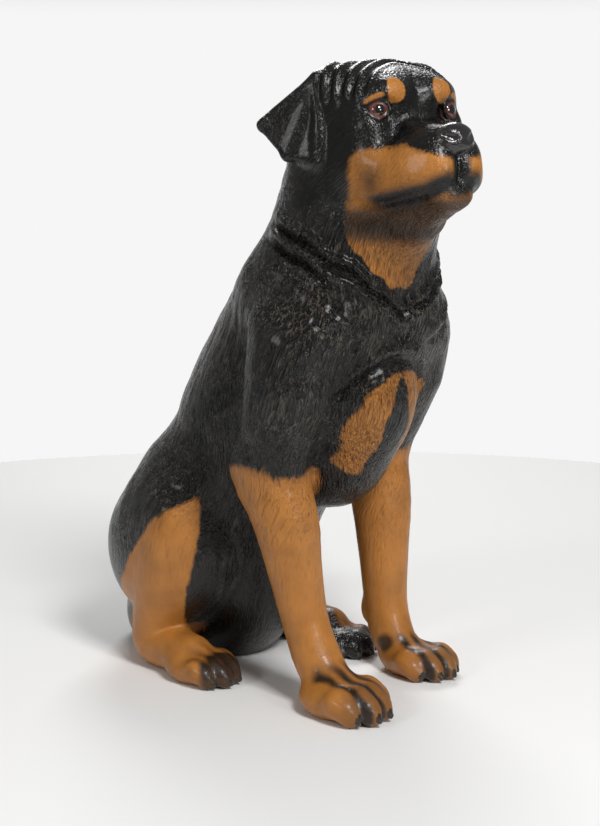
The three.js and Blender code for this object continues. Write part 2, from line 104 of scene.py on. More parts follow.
def ramp(value: Values, low: float, high: float) -> Values:
    """Rise smoothly from 0 at low to 1 at high, or fall where high is below low."""
    t = np.clip((value - low) / (high - low), 0.0, 1.0)
    return t * t * (3.0 - 2.0 * t)


def nothing(points: Points) -> Values:
    """The distance to an empty form: far everywhere."""
    return np.full(len(points), FAR, np.float32)


def from_stretch(points: Points, start: Values, way: Values) -> tuple[Values, Values]:
    """Give each point's place along a stretch of line, from 0 to 1, and its squared distance from it."""
    rest = points - start
    t = np.clip(rest @ way / max(way @ way, 1e-9), 0.0, 1.0)
    rest = rest - t[:, None] * way
    return t, (rest ** 2).sum(1)


@dataclass(frozen=True)
class Frame:
    """A frame turned about X, then about Z, in degrees, with its origin at a point and its own scale."""

    origin: Point
    about_x: float = 0.0
    about_z: float = 0.0
    size: float = 1.0

    def axes(self) -> np.ndarray:
        """Its axes as the columns of a matrix."""
        about_z = Matrix.Rotation(math.radians(self.about_z), 3, "Z")
        about_x = Matrix.Rotation(math.radians(self.about_x), 3, "X")
        return np.array(about_z @ about_x, np.float32)

    def inside(self, points: Points) -> Points:
        """Give points in this frame."""
        return (points - np.array(self.origin, np.float32)) @ self.axes() / np.float32(self.size)

    def outside(self, points: Points) -> Points:
        """Give points of this frame in the frame around it."""
        return points * self.size @ self.axes().T + np.array(self.origin)


@dataclass(frozen=True)
class Egg:
    """An ellipsoid, turned about X."""

    centre: Point
    radii: Point
    about_x: float = 0.0

    @property
    def reach(self) -> float:
        """The longest radius."""
        return max(self.radii)

    def distance(self, points: Points) -> Values:
        """Give the distance to its skin: the scaled point's length over the slope of that length."""
        scaled = Frame(self.centre, self.about_x).inside(points) / np.array(self.radii, np.float32)
        length = np.sqrt((scaled ** 2).sum(1))
        slope = np.sqrt(((scaled / np.array(self.radii, np.float32)) ** 2).sum(1))
        return length * (length - 1.0) / np.maximum(slope, 1e-6)


@dataclass(frozen=True)
class Rod:
    """A tapered rod with round ends."""

    start: Point
    end: Point
    start_radius: float
    end_radius: float

    @property
    def centre(self) -> Point:
        """Its middle."""
        return tuple((a + b) / 2 for a, b in zip(self.start, self.end))

    @property
    def reach(self) -> float:
        """Half its length, and its thickest radius."""
        return math.dist(self.start, self.end) / 2 + max(self.start_radius, self.end_radius)

    def distance(self, points: Points) -> Values:
        """Give the distance to the axis, less the radius at the nearest point of it."""
        start = np.array(self.start, np.float32)
        t, squared = from_stretch(points, start, np.array(self.end, np.float32) - start)
        return np.sqrt(squared) - self.start_radius - (self.end_radius - self.start_radius) * t


@dataclass(frozen=True)
class Leaf:
    """A flat triangle with a thickness and round edges."""

    corners: tuple[Point, ...]
    thickness: float

    @property
    def centre(self) -> Point:
        """The middle of its corners."""
        return tuple(sum(values) / 3 for values in zip(*self.corners))

    @property
    def reach(self) -> float:
        """From its middle to the farthest corner."""
        return max(math.dist(corner, self.centre) for corner in self.corners) + self.thickness

    def distance(self, points: Points) -> Values:
        """Give the distance to the triangle: to its plane above its face, else to its nearest edge."""
        a, b, c = (np.array(corner, np.float32) for corner in self.corners)
        normal = np.cross(b - a, a - c)
        sides = ((a, b - a), (b, c - b), (c, a - c))
        above = sum(np.sign((points - start) @ np.cross(side, normal)) for start, side in sides) >= 2
        nearest = np.min([from_stretch(points, start, side)[1] for start, side in sides], axis=0)
        plane = ((points - a) @ normal) ** 2 / (normal @ normal)
        return np.sqrt(np.where(above, plane, nearest)) - self.thickness / 2


@dataclass(frozen=True)
class Limb:
    """Rods end to end, as one lump."""

    rods: tuple[Rod, ...]

    @property
    def centre(self) -> Point:
        """The middle of its box."""
        ends = np.array([end for rod in self.rods for end in (rod.start, rod.end)])
        return tuple((ends.min(0) + ends.max(0)) / 2)

    @property
    def reach(self) -> float:
        """From its middle to the farthest point of a rod."""
        return max(math.dist(rod.centre, self.centre) + rod.reach for rod in self.rods)

    def distance(self, points: Points) -> Values:
        """Give the distance to the nearest rod."""
        return np.min([rod.distance(points) for rod in self.rods], axis=0)


Lump = Egg | Rod | Leaf | Limb


@dataclass(frozen=True)
class Step:
    """One lump added to a form, or cut away from it, with the width of its fillet."""

    lump: Lump
    blend: float
    away: bool = False


def add(blend: float, *lumps: Lump) -> list[Step]:
    """Steps that add lumps."""
    return [Step(lump, blend) for lump in lumps]


def cut(blend: float, *lumps: Lump) -> list[Step]:
    """Steps that cut lumps away."""
    return [Step(lump, blend, True) for lump in lumps]


def limb(*points: Joint) -> Limb:
    """Make a limb along a smooth curve through points that carry their own radius.

    Between two points the curve is the cubic that leaves each of them parallel to the line between its
    neighbours. Each such stretch becomes three rods.
    """
    rows = np.array((points[0], *points, points[-1]), float)
    curve = [rows[1]]
    for a, b, c, d in zip(rows, rows[1:], rows[2:], rows[3:]):
        for t in (1 / 3, 2 / 3, 1.0):
            curve.append(b + 0.5 * t * (c - a + t * (2 * a - 5 * b + 4 * c - d + t * (3 * (b - c) + d - a))))
    return Limb(tuple(Rod(tuple(a[:3]), tuple(b[:3]), a[3], b[3]) for a, b in zip(curve, curve[1:])))


def ring(centre: Point, wide: float, high: float, back: float, thin: float, thick: float) -> Limb:
    """Make a closed ring around Y, which leans back to its outer side and is thickest at its top."""
    x, y, z = centre
    turns = [step * math.pi / 4 for step in range(9)]
    return limb(*((x + wide * math.cos(turn), y + back * math.cos(turn), z + high * math.sin(turn),
                   thin + (thick - thin) * max(math.sin(turn), 0.0)) for turn in turns))


def model(steps: list[Step], points: Points, distance: Values) -> Values:
    """Work each step's lump into the distance, only where the lump can reach.

    Args:
        steps: the lumps, in order.
        points: where the distance is wanted.
        distance: the distance so far, which is changed in place.

    Returns:
        The distance.
    """
    for step in steps:
        rest = points - np.array(step.lump.centre, np.float32)
        near = (rest ** 2).sum(1) < (step.lump.reach + step.blend + SLACK) ** 2
        if near.any():
            own = step.lump.distance(points[near])
            old = distance[near]
            distance[near] = -melt(-old, own, step.blend) if step.away else melt(old, own, step.blend)
    return distance


def folded(points: Points) -> Points:
    """Points with their right half mirrored to the left."""
    return np.column_stack((np.abs(points[:, 0]), points[:, 1:]))


@dataclass
class Trunk:
    """The rump, ribs, neck and breast, the same on both sides, with the folds of loose skin."""

    fold_depth: float = 8.0
    fold_width: float = 6.5
    fold_span: tuple[float, float] = (560.0, 800.0)
    steps: list[Step] = field(default_factory=lambda: [
        *add(30, Egg((0, 172, 140), (142, 160, 158))),  # rump
        *add(30, Egg((0, 197, 50), (128, 148, 100))),  # seat
        *add(40, Egg((0, 92, 136), (110, 106, 116))),  # lower belly
        *add(50, limb((0, 108, 250, 136), (0, 36, 402, 150), (0, -82, 581, 146), (-2, -156, 710, 135),
                      (-8, -188, 850, 124))),  # loin, ribs and neck
        *add(40, Egg((0, -158, 480), (98, 108, 140), 10)),  # breast
        *add(40, Egg((66, -180, 608), (88, 84, 86))),  # breast muscle
        *add(50, Egg((0, -112, 360), (80, 82, 72))),  # brisket
        *add(50, Egg((96, 118, 312), (78, 104, 76))),  # hip
    ])

    def neck_folds(self, points: Points) -> Values:
        """Give how far the neck's folds stand out.

        Two creases run round the neck in tilted planes, low in front and high at the back, wavy by two sines.
        Each is a bell-shaped groove with a rounder ridge on both sides.
        """
        x, y, z = points.T
        level = z - (732 + 0.45 * y + 0.57 * np.abs(x) + 3 * np.sin(x / 9) + 3 * np.sin(y / 11))
        out = np.zeros(len(points), np.float32)
        for drop, start in ((0.0, -330.0), (32.0, -232.0)):
            shown = np.clip((y - start) / 30, 0, 1) * np.clip((-80 - y) / 60, 0, 1)
            offset = level + drop
            ridges = bump(offset - 2.2 * self.fold_width, 1.3 * self.fold_width)
            ridges = ridges + bump(offset + 2.2 * self.fold_width, 1.3 * self.fold_width)
            out += self.fold_depth * shown * (0.8 * ridges - 0.9 * bump(offset, self.fold_width))
        shoulder = ramp(np.abs(x), 60, 95) * ramp(np.abs(x), 165, 130) * ramp(y, -90, -130)
        return out + shoulder * (5 * bump(level + 80, 11) - 4 * bump(level + 104, 12))

    def body_folds(self, points: Points) -> Values:
        """Give the groove behind the upper arm, and the ridge along the breast muscle's lower edge."""
        x, y, z = points.T
        arm = -7 * bump(y + 92 - 0.06 * (z - 480), 11) * np.clip((z - 380) / 50, 0, 1)
        arm = arm * np.clip((620 - z) / 60, 0, 1) * np.clip((np.abs(x) - 110) / 30, 0, 1)
        edge = z - (552 - 0.0055 * x * x)
        breast = (6 * bump(edge - 9, 10) - 7 * bump(edge + 10, 9)) * np.clip((-y - 170) / 30, 0, 1)
        return arm + breast * np.clip((115 - np.abs(x)) / 30, 0, 1)


@dataclass
class Head:
    """The head, in a frame of its own between the eyes, the same on both sides. Its y runs to the nape."""

    own: Frame = Frame((-25, -307, 926), -8, -14)
    lowest: float = 660.0
    eye_centre: Point = (61, 8, -1)
    eye_radius: float = 16.5
    ear_thickness: float = 15.0 / 0.9
    fold_spacing: float = 25.0
    fold_height: float = 3.4

    def steps(self) -> list[Step]:
        """Give the skull, muzzle, eyes and ears."""
        top, low, belly = (104, 98, 58), (114, 95, -62), (144, 132, -50)
        tip, back = (169, 156, -2), (96, 150, 46)
        edge = self.ear_thickness / 2 + 0.5
        return [
            *add(10, Egg((0, 92, -4), (98, 104, 90))),  # skull
            *add(25, Egg((58, 100, 20), (52, 72, 58))),
            *add(30, Egg((0, 150, -60), (100, 84, 96))),  # nape
            *add(20, Egg((36, 40, 22), (50, 56, 40))),  # forehead
            *add(14, limb((24, 2, 24, 14), (50, -2, 26, 15), (76, 22, 14, 13))),  # brow
            *add(8, Rod((9, 2, 8), (11, 6, 40), 8, 9)),  # frown
            *add(14, Egg((68, 34, -20), (31, 40, 32))),  # cheek bone
            *add(24, Egg((62, 52, -74), (44, 64, 64))),  # cheek
            *add(25, Rod((0, 24, -144), (0, 90, -150), 56, 84)),  # throat
            *add(12, Rod((14, 4, -38), (12, -80, -54), 25, 21)),  # bridge of the nose
            *add(16, Egg((26, -46, -80), (37, 56, 42))),  # upper lip
            *add(14, Egg((20, -81, -92), (27, 29, 34))),
            *add(20, Rod((38, -40, -92), (54, 36, -92), 34, 38)),
            *add(14, limb((22, -86, -104, 21), (42, -62, -110, 23), (58, -20, -116, 24), (66, 20, -116, 26))),
            *add(12, limb((0, -76, -134, 24), (0, -30, -136, 38), (0, 40, -128, 50))),  # lower jaw
            *add(10, Egg((0, -78, -136), (35, 26, 22))),  # chin
            *add(4, Egg((0, -97, -56), (31, 23, 24))),  # nose
            *cut(4, limb((11, -122, -58, 5), (16, -117, -57, 5), (26, -107, -51, 3))),  # nostril
            *cut(7, limb((0, -124, -70, 3), (0, -118, -90, 5), (0, -116, -112, 7))),  # groove below the nose
            *cut(6, limb((0, -114, -108, 4), (14, -113, -113, 4), (28, -106, -120, 4), (46, -86, -129, 4),
                         (61, -46, -134, 3.5), (70, -8, -138, 3))),  # mouth
            *cut(12, Egg((61, -16, -2), (22, 15, 15))),  # socket
            *add(2, Egg(self.eye_centre, (self.eye_radius,) * 3)),  # eyeball
            *add(3, ring((62, -3, -1), 13, 12, 6, 3.0, 4.2)),  # lids
            *add(14, Egg((78, 98, 47), (34, 38, 34))),  # base of the ear
            *add(6, Leaf((top, low, belly), self.ear_thickness)),  # ear
            *add(12, Leaf((top, belly, tip), self.ear_thickness)),
            *add(10, Leaf((top, tip, back), self.ear_thickness)),
            *add(6, limb((*top, edge), (112, 90, 0, edge), (*low, edge))),
        ]

    def skull_folds(self, local: Points) -> Values:
        """Give the ridges of loose skin over the skull: a sine of the way back, faded at both ends."""
        x, y, z = local.T
        along = y + 0.7 * np.sqrt(x * x + 144) + 0.1 * z
        shown = ramp(along, 46, 70) * ramp(along, 190, 150) * ramp(z, 6, 40)
        return self.fold_height * shown * np.sin(along * TURN / self.fold_spacing)

    def distance(self, points: Points) -> Values:
        """Give the distance to the head's skin."""
        local = self.own.inside(points)
        return model(self.steps(), folded(local), nothing(points)) - self.skull_folds(local)


@dataclass(frozen=True)
class Paw:
    """A pad with four toes and their claws. Its frame stands on the ground in the middle of the paw."""

    side: int
    at: Point
    heading: float
    size: float
    toes: tuple[tuple[float, float], ...] = ((-34, -20), (-13, -40), (12, -43), (33, -27))

    @property
    def own(self) -> Frame:
        """Its frame."""
        return Frame(self.at, 0, self.heading, self.size)

    def steps(self) -> list[Step]:
        """Give the pad, the toes and the claws."""
        steps = add(16, Egg((0, 10, 20), (47, 54, 27)))
        for across, along in self.toes:
            x = across * self.side
            steps += add(10, Rod((x * 0.7, 12, 22), (x, along + 10, 26), 18, 18.5))
            middle, tip = (x * 1.02, along - 4, 21, 18), (x * 1.03, along - 12, 14, 14)
            steps += add(6, limb((x, along + 10, 26, 18.5), middle, tip))
            steps += add(3, Rod((x * 1.03, along - 20, 18), (x * 1.05, along - 27, 9), 5.5, 3.5))
        return steps

    def work_in(self, points: Points, distance: Values) -> None:
        """Model the paw into the distance, near the paw only."""
        near = ((points - np.array(self.at, np.float32)) ** 2).sum(1) < (110 * self.size) ** 2
        if near.any():
            local = self.own.inside(points[near])
            distance[near] = self.size * model(self.steps(), local, distance[near] / np.float32(self.size))


@dataclass(frozen=True)
class Foreleg:
    """A foreleg: the shoulder, the elbow and the leg's joints, then the paw."""

    joints: tuple[Joint, ...]
    paw: Paw

    def steps(self) -> list[Step]:
        """Give the shoulder, elbow and leg."""
        x, y, z = self.joints[0][:3]
        wrist = self.joints[3]
        side = self.paw.side
        return [
            *add(40, limb((side * 80, -78, 640, 58), (side * 126, -158, 562, 74), (x, y - 8, z + 20, 58))),
            *add(16, Rod((x, y + 20, z + 6), (x, y + 8, z - 30), 42, 40)),
            *add(16, limb(*self.joints)),
            *add(10, Egg((wrist[0] - side * 10, wrist[1] + 26, wrist[2] - 14), (16, 15, 26))),  # carpal pad
        ]

    def nearness(self, points: Points) -> Values:
        """Give the distance to the leg alone."""
        return model(add(16, limb(*self.joints)), points, nothing(points))


@dataclass(frozen=True)
class Hindleg:
    """A folded hind leg: the thigh, then the joints from hip to toes, then the paw."""

    thigh: Egg
    joints: tuple[Joint, ...]
    paw: Paw

    def steps(self) -> list[Step]:
        """Give the thigh and leg."""
        return [*add(24, self.thigh), *add(24, limb(*self.joints))]


@dataclass
class Figure:
    """The whole dog, above the ground."""

    trunk: Trunk = field(default_factory=Trunk)
    head: Head = field(default_factory=Head)
    forelegs: tuple[Foreleg, ...] = (
        Foreleg(((-140, -112, 372, 57), (-131, -142, 291, 52), (-123, -152, 220, 44), (-114, -168, 130, 37),
                 (-112, -198, 66, 38), (-116, -240, 34, 32)), Paw(-1, (-124, -263, 0), 4, 1.2)),
        Foreleg(((131, -90, 372, 53), (126, -110, 277, 50), (117, -124, 196, 42), (113, -134, 110, 36),
                 (111, -152, 56, 36), (113, -182, 28, 28)), Paw(1, (115, -204, 0), -4, 1.06)),
    )
    hindlegs: tuple[Hindleg, ...] = (
        Hindleg(Egg((-128, 138, 197), (77, 138, 130), -20),
                ((-120, 150, 262, 74), (-156, 92, 264, 50), (-160, 104, 165, 45), (-156, 144, 52, 42),
                 (-160, 100, 38, 38), (-162, 48, 34, 36)), Paw(-1, (-164, 20, 0), 8, 1.02)),
        Hindleg(Egg((112, 168, 208), (66, 120, 126), -20),
                ((108, 160, 258, 66), (116, 142, 260, 42), (112, 130, 165, 42), (122, 138, 50, 40),
                 (118, 70, 38, 36), (114, 0, 36, 36)), Paw(1, (112, -30, 0), -4, 0.98)),
    )
    tail: Rod = Rod((0, 280, 95), (0, 339.8, 132.3), 24, 15)
    neck_blend: float = 22.0

    @property
    def legs(self) -> tuple[Foreleg | Hindleg, ...]:
        """All four legs."""
        return (*self.forelegs, *self.hindlegs)

    def distance(self, points: Points) -> Values:
        """Give the distance to the figure's skin, less than 0 inside."""
        points = points.astype(np.float32)
        distance = model(self.trunk.steps, folded(points), nothing(points))
        for leg in (*self.hindlegs, *self.forelegs):
            model(leg.steps(), points, distance)
        model(add(16, self.tail), points, distance)
        distance -= self.trunk.body_folds(points)
        for leg in self.legs:
            leg.paw.work_in(points, distance)
        high = points[:, 2] > self.head.lowest
        if high.any():
            distance[high] = melt(distance[high], self.head.distance(points[high]), self.neck_blend)
        low, high = self.trunk.fold_span
        neck = (points[:, 2] > low) & (points[:, 2] < high)
        if neck.any():
            distance[neck] -= self.trunk.neck_folds(points[neck])
        return np.maximum(distance, -points[:, 2])

    def slope(self, points: Points, reach: float = 0.6) -> Points:
        """Give the distance's slope, from its values a little way to each side."""
        rises = [self.distance(points + step) - self.distance(points - step) for step in np.eye(3) * reach]
        return np.stack(rises, 1) / (2 * reach)


@dataclass
class Skinner:
    """Takes a closed skin from the figure, on a grid whose cells are finest at the head.

    The grid is even in its own indices. Each level has its own height, cell size and middle, so that the
    levels draw in and lean towards the head.
    """

    figure: Figure
    head_cell: float = 3.5
    body_cell: float = 6.6
    paw_cell: float = 5.0
    across: int = 112
    along: int = 148
    coarse: int = 4
    top: float = 1030.0
    paws: tuple[float, float] = (150.0, 70.0)
    body_shift: float = -52.0
    head_shift: tuple[float, float] = (-25.0, -188.0)

    def cell(self, z: Values) -> Values:
        """Give the cell size at a height."""
        to_head = (self.head_cell - self.body_cell) * ramp(z, 560.0, 770.0)
        to_paw = (self.paw_cell - self.body_cell) * ramp(z, *self.paws)
        return self.body_cell + to_head + to_paw

    def levels(self) -> Values:
        """Give the levels' heights, each a cell above the last."""
        heights = [-0.5 * self.paw_cell]
        while heights[-1] < self.top:
            heights.append(heights[-1] + float(self.cell(np.array(heights[-1]))))
        return np.array(heights)

    def place(self, index: Points, heights: Values) -> Points:
        """Turn grid indices, which may lie between nodes, into points."""
        z = np.interp(index[:, 2], np.arange(len(heights)), heights)
        cell = self.cell(z)
        to_head = ramp(z, 560.0, 780.0)
        x = self.head_shift[0] * to_head + (index[:, 0] - self.across / 2) * cell
        y = self.body_shift * (1 - ramp(z, *self.paws)) + self.head_shift[1] * to_head
        return np.column_stack((x, y + (index[:, 1] - self.along / 2) * cell, z))

    def values(self, heights: Values) -> np.ndarray:
        """Give the figure's distance at every node, exact near the skin and rough away from it."""
        count = np.array((self.across + 1, self.along + 1, len(heights)))
        rough_count = (count - 1) // self.coarse + 2
        rough_index = np.indices(rough_count).reshape(3, -1).T * self.coarse
        rough = self.figure.distance(self.place(np.minimum(rough_index, count - 1), heights))
        rough = rough.reshape(rough_count)
        rough_heights = np.interp(np.arange(rough_count[2]) * self.coarse, np.arange(len(heights)), heights)
        near = np.abs(rough) < 1.9 * (self.coarse * self.cell(rough_heights))
        for axis in range(3):
            near |= np.roll(near, 1, axis) | np.roll(near, -1, axis)
        spread = [np.minimum(np.arange(n) // self.coarse, rough_count[i] - 1) for i, n in enumerate(count)]
        values = rough[np.ix_(*spread)].astype(np.float32)
        index = np.argwhere(near[np.ix_(*spread)])
        values[tuple(index.T)] = self.figure.distance(self.place(index, heights))
        return values

    def skin(self) -> tuple[Points, np.ndarray]:
        """Take the skin: a vertex in each cell that the surface crosses, at the mean of its edges' crossings.

        Returns:
            The vertices, and the quads between the four cells around each crossed edge.
        """
        heights = self.levels()
        values = self.values(heights)
        inside = values < 0
        cells_shape = tuple(n - 1 for n in values.shape)
        corners = [(i, j, k) for i in (0, 1) for j in (0, 1) for k in (0, 1)]
        filled = np.zeros(cells_shape, np.uint8)
        for corner in corners:
            filled += inside[tuple(slice(c, c + n) for c, n in zip(corner, cells_shape))]
        cells = np.argwhere((filled > 0) & (filled < 8))
        number = np.full(cells_shape, -1, np.int64)
        number[tuple(cells.T)] = np.arange(len(cells))
        total = np.zeros((len(cells), 3))
        hits = np.zeros(len(cells))
        for corner in corners:
            for axis in range(3):
                if corner[axis]:
                    continue
                end = np.array(corner) + np.eye(3, dtype=int)[axis]
                low, high = values[tuple((cells + corner).T)], values[tuple((cells + end).T)]
                crossed = (low < 0) != (high < 0)
                way = np.where(crossed, low / np.where(crossed, low - high, 1.0), 0.0)
                total += (np.array(corner) + way[:, None] * np.eye(3)[axis]) * crossed[:, None]
                hits += crossed
        vertices = self.place(cells + total / hits[:, None], heights)
        quads = [self.quads(inside, number, axis) for axis in range(3)]
        return self.outer(vertices, np.concatenate(quads))

    def quads(self, inside: np.ndarray, number: np.ndarray, axis: int) -> np.ndarray:
        """Give the quads across the edges that run along one axis, turned to face out."""
        side, other = (axis + 1) % 3, (axis + 2) % 3
        low = [slice(1, n - 1) for n in inside.shape]
        low[axis] = slice(0, inside.shape[axis] - 1)
        high = list(low)
        high[axis] = slice(1, inside.shape[axis])
        start, end = inside[tuple(low)], inside[tuple(high)]
        at = np.argwhere(start != end)
        leaving = start[tuple(at.T)]
        shift = np.ones(3, int)
        shift[axis] = 0
        at = at + shift
        steps = np.zeros((4, 3), int)
        steps[1, side] = steps[2, side] = steps[2, other] = steps[3, other] = 1
        ring = np.stack([number[tuple((at - step).T)] for step in steps], 1)
        ring[~leaving] = ring[~leaving][:, ::-1]
        return ring

    @staticmethod
    def outer(vertices: Points, quads: np.ndarray) -> tuple[Points, np.ndarray]:
        """Keep the largest skin that hangs together, by passing the lowest vertex number along the quads."""
        label = np.arange(len(vertices))
        while True:
            least = label[quads].min(1)
            passed = label.copy()
            np.minimum.at(passed, quads.ravel(), least.repeat(4))
            passed = passed[passed]
            if (passed == label).all():
                break
            label = passed
        kept = label == np.bincount(label).argmax()
        renumber = np.cumsum(kept) - 1
        return vertices[kept], renumber[quads[kept[quads[:, 0]]]]

    def settle(self, vertices: Points, passes: int = 2) -> Points:
        """Move vertices on to the skin: back along the slope by the distance over the slope's square."""
        for _ in range(passes):
            slope = self.figure.slope(vertices)
            steep = np.maximum((slope ** 2).sum(1), 0.1)
            move = np.clip(self.figure.distance(vertices) / steep, -4.0, 4.0)
            vertices = vertices - move[:, None] * slope
        return vertices


@dataclass
class Coat:
    """The dog's hair: which way it lies, and the locks that are carved into the skin."""

    figure: Figure
    lie: Point = (0.0, 0.25, -0.97)
    head_lie: Point = (0.0, 0.86, -0.5)
    meeting: Point = (-5.0, -190.0, 790.0)
    lock_width: float = 15.0
    lock_stretch: float = 0.24
    lock_height: float = 3.4

    def combed(self, points: Points, stretch: float) -> Points:
        """Give points pressed together along the hair, so that a plain noise of them is drawn out along it.

        The part of each point's offset along the lie is shortened to the given share, by one rule for the
        head and one for the body, which agree where the two meet. Slow sines bend the strands.
        """
        rest = points - np.array(self.meeting)
        rest = rest + 7.0 * np.sin(rest[:, [1, 2, 0]] / 41.0) + 4.0 * np.sin(rest[:, [2, 0, 1]] / 23.0)
        body = np.array(self.lie) / np.linalg.norm(self.lie)
        head = self.figure.head.own.axes() @ (np.array(self.head_lie) / np.linalg.norm(self.head_lie))
        pressed = [rest - (1 - stretch) * (rest @ way)[:, None] * way for way in (body, head)]
        share = ramp(points[:, 2], 740.0, 840.0)[:, None]
        return pressed[0] * (1 - share) + pressed[1] * share

    def locks(self, points: Points) -> Values:
        """Give how high a lock stands at each point, from 0 to 1.

        Space is cut into cells in the combed frame, each with one point placed by a hash of the cell. The
        height falls from 1 at the nearest such point, so each lock is a long low mound.
        """
        spots = self.combed(points, self.lock_stretch) / self.lock_width
        cell = np.floor(spots)
        nearest = np.full(len(points), 9.0)
        for shift in np.indices((3, 3, 3)).reshape(3, -1).T - 1:
            other = cell + shift
            mixed = np.sin(other @ HASH) * HASH_SCALE
            centre = other + 0.5 + 0.8 * (mixed - np.floor(mixed) - 0.5)
            nearest = np.minimum(nearest, ((spots - centre) ** 2).sum(1))
        return np.clip(1.0 - nearest, 0.0, 1.0)

    def fullness(self, points: Points) -> Values:
        """Give how full the coat is: fullest at the ruff and breast, none on the face and the paws."""
        local = self.figure.head.own.inside(points)
        full = 0.6 + 0.4 * bump(points[:, 2] - 640, 130)
        full *= ramp(points[:, 2], 60.0, 420.0)
        return full * (1 - ramp(local[:, 2], -190.0, -120.0) * ramp(local[:, 1], 200.0, 120.0))

    def carve(self, vertices: Points) -> Points:
        """Lift vertices along the skin's slope by the locks' height."""
        slope = self.figure.slope(vertices, 3.0)
        slope /= np.maximum(np.linalg.norm(slope, axis=1), 1e-6)[:, None]
        lift = self.lock_height * self.fullness(vertices) * (self.locks(vertices) - 0.5)
        return vertices + lift[:, None] * slope


@dataclass
class PaintPlan:
    """Where each paint lies on the dog, as soft masks from 0 to 1 at every vertex."""

    figure: Figure
    edge: float = 14.0

    def on_head(self, points: Points) -> Points:
        """Give points in the head's frame."""
        return self.figure.head.own.inside(points)

    def tan(self, points: Points) -> Values:
        """Give the tan markings: legs, breast, throat, muzzle, brows and the thigh's front."""
        parts = [self.tan_forelegs(points), self.tan_hindlegs(points), self.tan_breast(points),
                 self.tan_throat(points), self.tan_face(points)]
        return np.max(parts, axis=0)

    def tan_forelegs(self, points: Points) -> Values:
        """Give the forelegs below a soft line under the elbow, where the leg is nearer than the trunk."""
        x, y, z = points.T
        line = 372 + 4 * np.sin(x / 19) + 5 * np.sin(y / 23)
        near = np.min([leg.nearness(points) for leg in self.figure.forelegs], axis=0)
        leg = ramp(z, line + self.edge, line - self.edge) * ramp(near, 26.0, 8.0) * ramp(y, -20, -60)
        return np.maximum(leg, ramp(z, 110, 90) * ramp(y, -150, -170))

    def tan_hindlegs(self, points: Points) -> Values:
        """Give the thigh's front and the foot, before a line that runs back as it goes down."""
        x, y, z = points.T
        wide = np.abs(x)
        line = np.interp(z, (0, 60, 120, 197, 257, 300, 330), (290, 250, 205, 150, 98, 44, -10))
        outer = ramp(wide, 96.0, 126.0)
        front = np.interp(z, (115, 168, 250, 290), (229, 216, 189, 190))
        turned = np.maximum(ramp(wide + y, front - 10, front + 10), ramp(z, 84.0, 62.0))
        shown = ramp(y, line + self.edge, line - self.edge) * outer * turned
        return shown * ramp(y, -90, -70) * ramp(z, 320, 290)

    def tan_breast(self, points: Points) -> Values:
        """Give the two patches of the breast: bands that start at the middle and lean out as they go down."""
        x, y, z = points.T
        across = np.abs(x) + 2.5 * np.sin(z / 9)
        inner = np.interp(z, (345, 381, 420, 459, 500, 526), (32, 30, 27, 25, 11, 0))
        outer = np.interp(z, (345, 381, 420, 459, 500, 526), (38, 68, 75, 75, 47, 12))
        outer = np.where(x > 0, np.minimum(2.0 * outer, 108.0), outer)
        shown = ramp(across, inner - 5, inner + 5) * ramp(across, outer + 7, outer - 7)
        return shown * ramp(z, 348, 372) * ramp(z, 534, 512) * ramp(y, -150, -175)

    def tan_throat(self, points: Points) -> Values:
        """Give the bib on the throat, above a line that is lowest near the middle."""
        x, y, z = points.T
        line = np.interp(x, (-104, -92, -72, -50, -24, 2, 12, 20), (740, 712, 690, 666, 656, 664, 700, 740))
        line = line + 4 * np.sin(x / 5)
        return ramp(z, line - 6, line + 4) * ramp(z, 820, 790) * ramp(y, -215, -235) * ramp(x, -112, -96)

    def tan_face(self, points: Points) -> Values:
        """Give the muzzle's sides and cheeks, the brow spots and the arc over each eye."""
        x, y, z = self.on_head(points).T
        wide = np.abs(x)
        top = np.interp(y, (-120, -100, -60, -30, 0, 30, 60), (-92, -80, -62, -60, -62, -60, -70))
        back = 20 - 0.4 * (z + 62)
        muzzle = ramp(z, top + 13, top - 11) * ramp(y, back + 16, back - 20)
        muzzle = muzzle * ramp(wide, 4, 16) * ramp(z, -168, -146)
        brow = ramp(np.hypot((wide - 41) / 15, (z - 27) / 19), 1.2, 0.8) * ramp(y, 30, 20)
        arc = bump(np.hypot(wide - 62, z + 2) - 22, 3.6) * ramp(z, 6, 14) * ramp(y, 24, 14)
        arc = arc * ramp(wide, 56, 64)
        return np.max([muzzle, brow, arc], axis=0)

    def brown(self, points: Points) -> Values:
        """Give the dull brown under the jaw: painted shade that darkens the tan there."""
        x, y, z = self.on_head(points).T
        under = ramp(z, -132, -150) * ramp(points[:, 2], 718, 744)
        return under * ramp(np.abs(x), 140, 120) * ramp(y, 150, 130)

    def dark(self, points: Points) -> Values:
        """Give what is painted black over tan: lips, toes, a spot on the far pastern, and the eyes' rims,
        with a band of painted shadow from the jaw just above the bib.
        """
        x, y, z = self.on_head(points).T
        wide = np.abs(x)
        lips = np.interp(y, (-116, -108, -86, -46, -8, 30), (-110, -119, -129, -134, -137, -136))
        lip = np.minimum(1.4 * bump(z - lips, 12.5), 1.0) * ramp(y, 34, -8)
        parting = 13 + 0.10 * (-66 - z)
        front = ramp(wide, parting + 5, parting - 5) * ramp(y, -82, -92)
        front = front * ramp(z, -66, -74) * ramp(z, -150, -132)
        smear = 0.72 * bump(np.hypot(y + 2, 0.7 * (z + 104)), 21) * ramp(wide, 24, 40)
        # painted shadow of the jaw: a dark band just above the bib
        shade = 0.55 * bump(points[:, 2] - 740 - 0.2 * np.abs(points[:, 0] + 24), 13) * ramp(z, -130, -150)
        pastern = np.array(self.figure.forelegs[1].joints[4][:3]) + (-30, -12, -6)
        spot = 0.9 * ramp(np.linalg.norm(points - pastern, axis=1), 21, 10)
        parts = [lip, front, smear, shade, spot, self.rim(points)]
        parts += [self.gaps(leg.paw, points) for leg in self.figure.forelegs]
        parts += [self.toes(leg.paw, points) for leg in self.figure.hindlegs]
        return np.clip(np.max(parts, axis=0), 0, 1)

